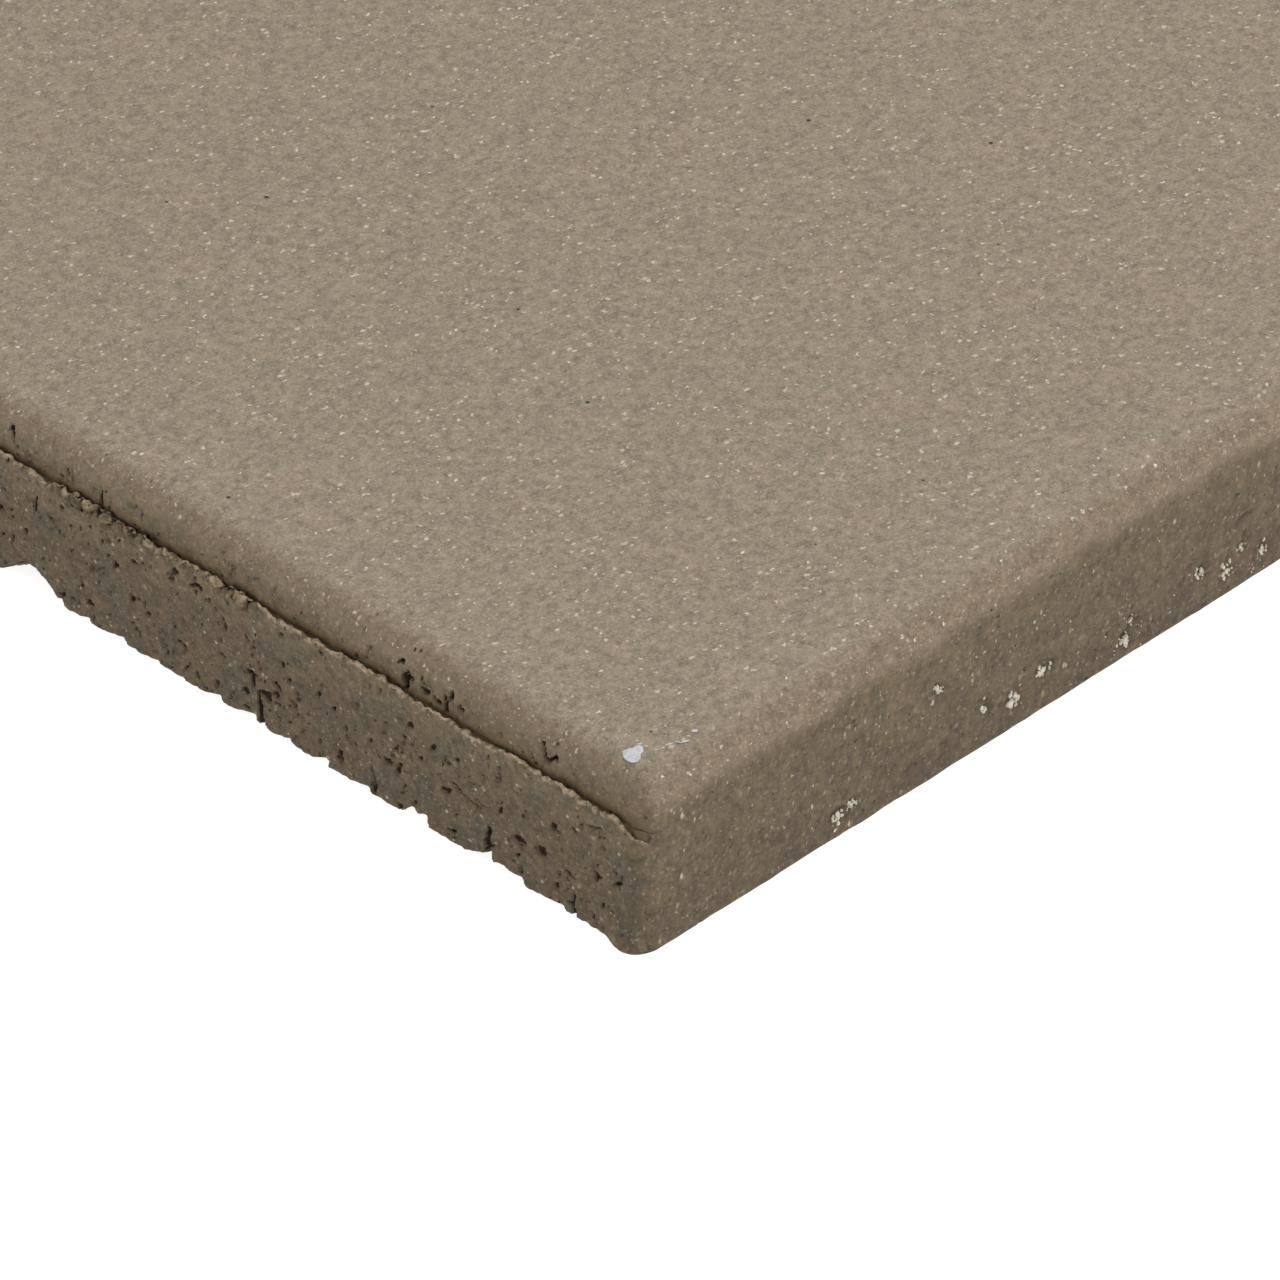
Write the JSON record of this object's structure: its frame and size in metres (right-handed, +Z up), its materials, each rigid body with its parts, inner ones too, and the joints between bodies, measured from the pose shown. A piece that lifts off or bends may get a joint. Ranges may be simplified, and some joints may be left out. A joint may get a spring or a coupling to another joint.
{
  "type": "concrete paving slab",
  "caption": "Flat square concrete paving slab with a rounded wearing edge, smooth formed sides, rough cut sides and white stone chips showing in the surface.",
  "frame": {"origin": "middle of the bed face, which lies on the ground", "axes": "+Z up out of the wearing face, +X towards a formed side, +Y towards a cut side"},
  "size_m": [0.4, 0.4, 0.04],
  "materials": {
    "core_concrete": "matte",
    "face_concrete": "satin",
    "side_chip_stone": "matte",
    "face_chip_stone": "satin"
  },
  "bodies": {
    "root": {"core_layer": "core_concrete", "face_layer": "face_concrete", "core_chips": "side_chip_stone", "face_chip": "face_chip_stone"}
  },
  "joints": []
}
